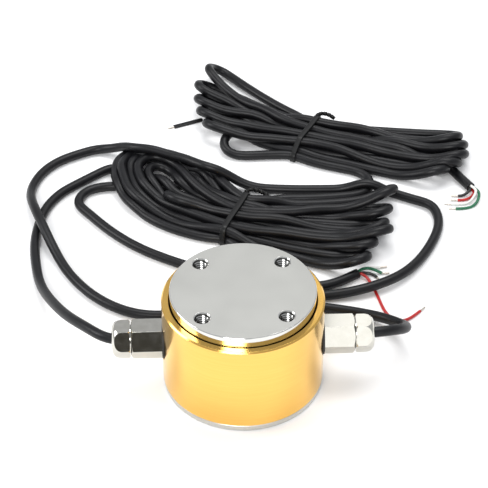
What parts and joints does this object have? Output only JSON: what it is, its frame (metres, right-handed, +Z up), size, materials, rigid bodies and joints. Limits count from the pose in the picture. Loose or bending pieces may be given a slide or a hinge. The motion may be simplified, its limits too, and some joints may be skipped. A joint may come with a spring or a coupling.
{
  "type": "multi-axis force sensor",
  "caption": "Round force sensor: a threaded loading disc in a polished gold sleeve, with a cable gland on each side and long black signal cables tied in hanks behind it.",
  "frame": {"origin": "under the middle of the base, on the surface that the sensor stands on", "axes": "+Z up along the sensor's axis, out of the loading disc; +X along the cable glands, to the one on the right in the picture; +Y away from the viewer, towards the tied cables"},
  "size_m": [0.1902, 0.231, 0.0429],
  "materials": {
    "turned_aluminium": "fine turned and bead blasted, clear anodised",
    "gold_anodised_aluminium": "polished and gold anodised",
    "milled_aluminium": "milled satin",
    "gauge_film": "thin film with a foil grid",
    "seal_rubber": "moulded, satin",
    "blackened_steel": "black oxide",
    "ground_steel": "ground",
    "board_laminate": "solder mask over glass laminate",
    "spacer_brass": "turned",
    "zinc_steel": "bright zinc plate",
    "chip_resin": "moulded resin",
    "nickel_plate": "polished nickel plate on brass",
    "cage_nylon": "moulded nylon",
    "cable_jacket": "extruded, satin black",
    "tie_plastic": "moulded, glossy black",
    "inner_wire": "extruded insulation",
    "red_wire": "extruded insulation",
    "green_wire": "extruded insulation",
    "white_wire": "extruded insulation",
    "black_wire": "extruded insulation"
  },
  "bodies": {
    "root": {"base_plate": "turned_aluminium", "base_seal": "seal_rubber", "gold_sleeve": "gold_anodised_aluminium", "elastic_element": "milled_aluminium", "strain_gauges": "gauge_film", "loading_disc": "turned_aluminium", "disc_seal": "seal_rubber", "hub_screw": "blackened_steel", "dowel_pins": "ground_steel", "rim_screws": "blackened_steel", "circuit_board": "board_laminate", "board_spacers": "spacer_brass", "board_screws": "zinc_steel", "board_parts": "chip_resin", "left_gland_washer": "seal_rubber", "left_gland_body": "nickel_plate", "left_gland_locknut": "nickel_plate", "left_clamp_cage": "cage_nylon", "left_grommet": "seal_rubber", "left_cap_nut": "nickel_plate", "left_inner_wires": "inner_wire", "right_gland_washer": "seal_rubber", "right_gland_body": "nickel_plate", "right_gland_locknut": "nickel_plate", "right_clamp_cage": "cage_nylon", "right_grommet": "seal_rubber", "right_cap_nut": "nickel_plate", "right_inner_wires": "inner_wire", "left_cable_lead": "cable_jacket", "front_hank": "cable_jacket", "front_tie": "tie_plastic", "left_cable_tail": "cable_jacket", "left_red_wire": "red_wire", "left_green_wire": "green_wire", "left_white_wire": "white_wire", "left_black_wire": "black_wire", "right_cable_lead": "cable_jacket", "right_cable_loop": "cable_jacket", "right_cable_link": "cable_jacket", "back_hank": "cable_jacket", "back_tie": "tie_plastic", "right_cable_end": "cable_jacket", "right_red_wire": "red_wire", "right_green_wire": "green_wire", "right_white_wire": "white_wire", "right_black_wire": "black_wire"}
  },
  "joints": []
}
